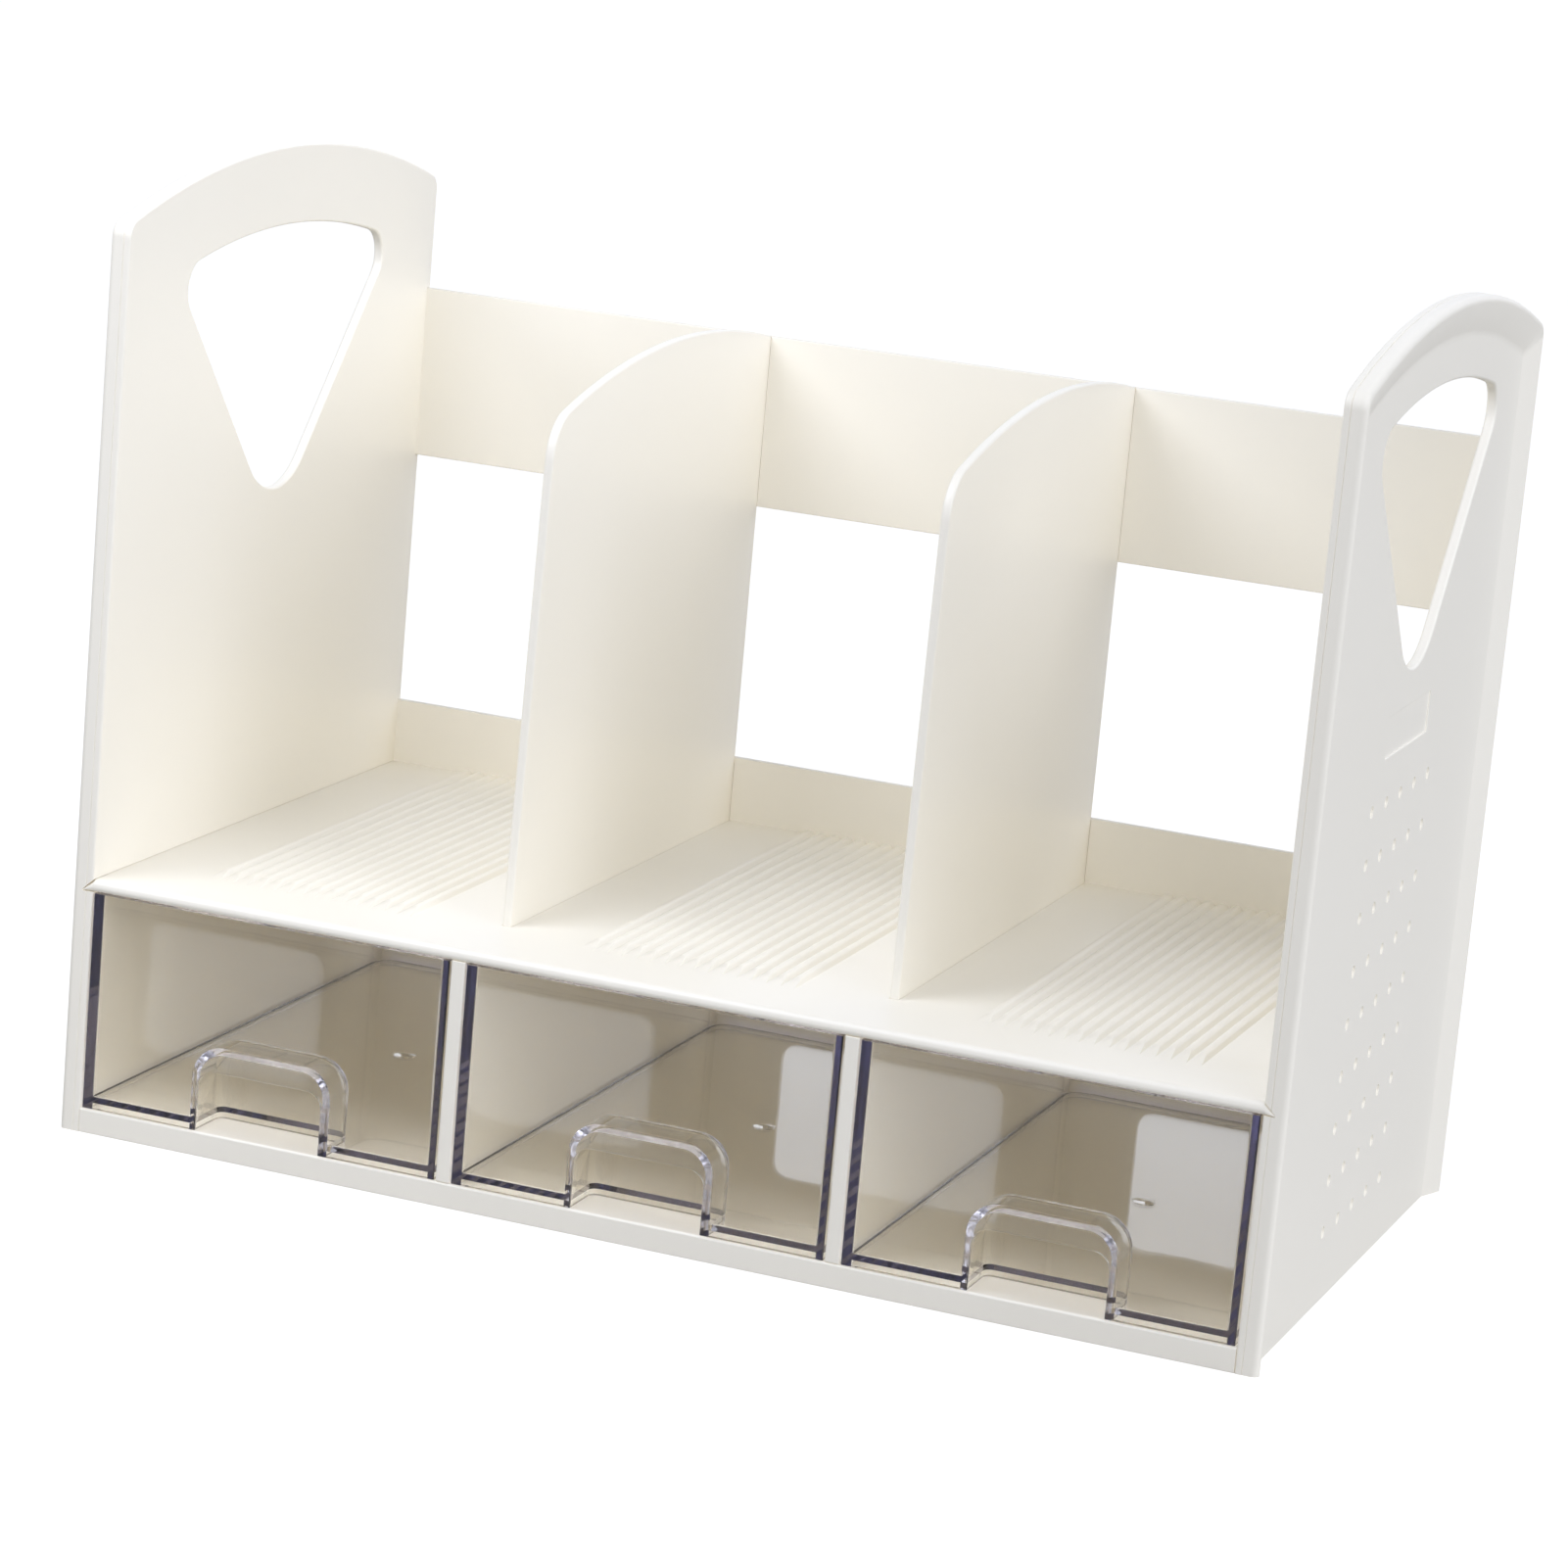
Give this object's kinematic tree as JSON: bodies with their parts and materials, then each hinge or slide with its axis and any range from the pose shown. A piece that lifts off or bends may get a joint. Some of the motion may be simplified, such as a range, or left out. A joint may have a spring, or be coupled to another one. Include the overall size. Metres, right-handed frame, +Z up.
{
  "type": "magazine file with drawers",
  "caption": "Desktop magazine file: open upright bays between arched side panels with handle holes, above clear slide-out drawers with finger pockets.",
  "frame": {"origin": "on the desk, below the middle of the body", "axes": "+X to the right seen from the front, +Y to the back, +Z up"},
  "size_m": [0.345, 0.19, 0.2665],
  "materials": {
    "ivory_plastic": "warm white moulded polystyrene, fine satin grain",
    "smoky_clear_plastic": "clear polystyrene with a light smoky brown tint, polished"
  },
  "bodies": {
    "carcass": {"left_side_panel": "ivory_plastic", "right_side_panel": "ivory_plastic", "shelf_deck": "ivory_plastic", "base_panel": "ivory_plastic", "lower_back_panel": "ivory_plastic", "upper_back_rail": "ivory_plastic", "left_drawer_partition": "ivory_plastic", "right_drawer_partition": "ivory_plastic", "left_file_divider": "ivory_plastic", "right_file_divider": "ivory_plastic"},
    "drawer_left": {"left_drawer": "smoky_clear_plastic"},
    "drawer_centre": {"centre_drawer": "smoky_clear_plastic"},
    "drawer_right": {"right_drawer": "smoky_clear_plastic"}
  },
  "joints": [
    {"name": "left_drawer_slide", "type": "slide", "parent": "carcass", "child": "drawer_left", "axis": [0, -1, 0], "range_m": [0, 0.14]},
    {"name": "centre_drawer_slide", "type": "slide", "parent": "carcass", "child": "drawer_centre", "axis": [0, -1, 0], "range_m": [0, 0.14]},
    {"name": "right_drawer_slide", "type": "slide", "parent": "carcass", "child": "drawer_right", "axis": [0, -1, 0], "range_m": [0, 0.14]}
  ]
}
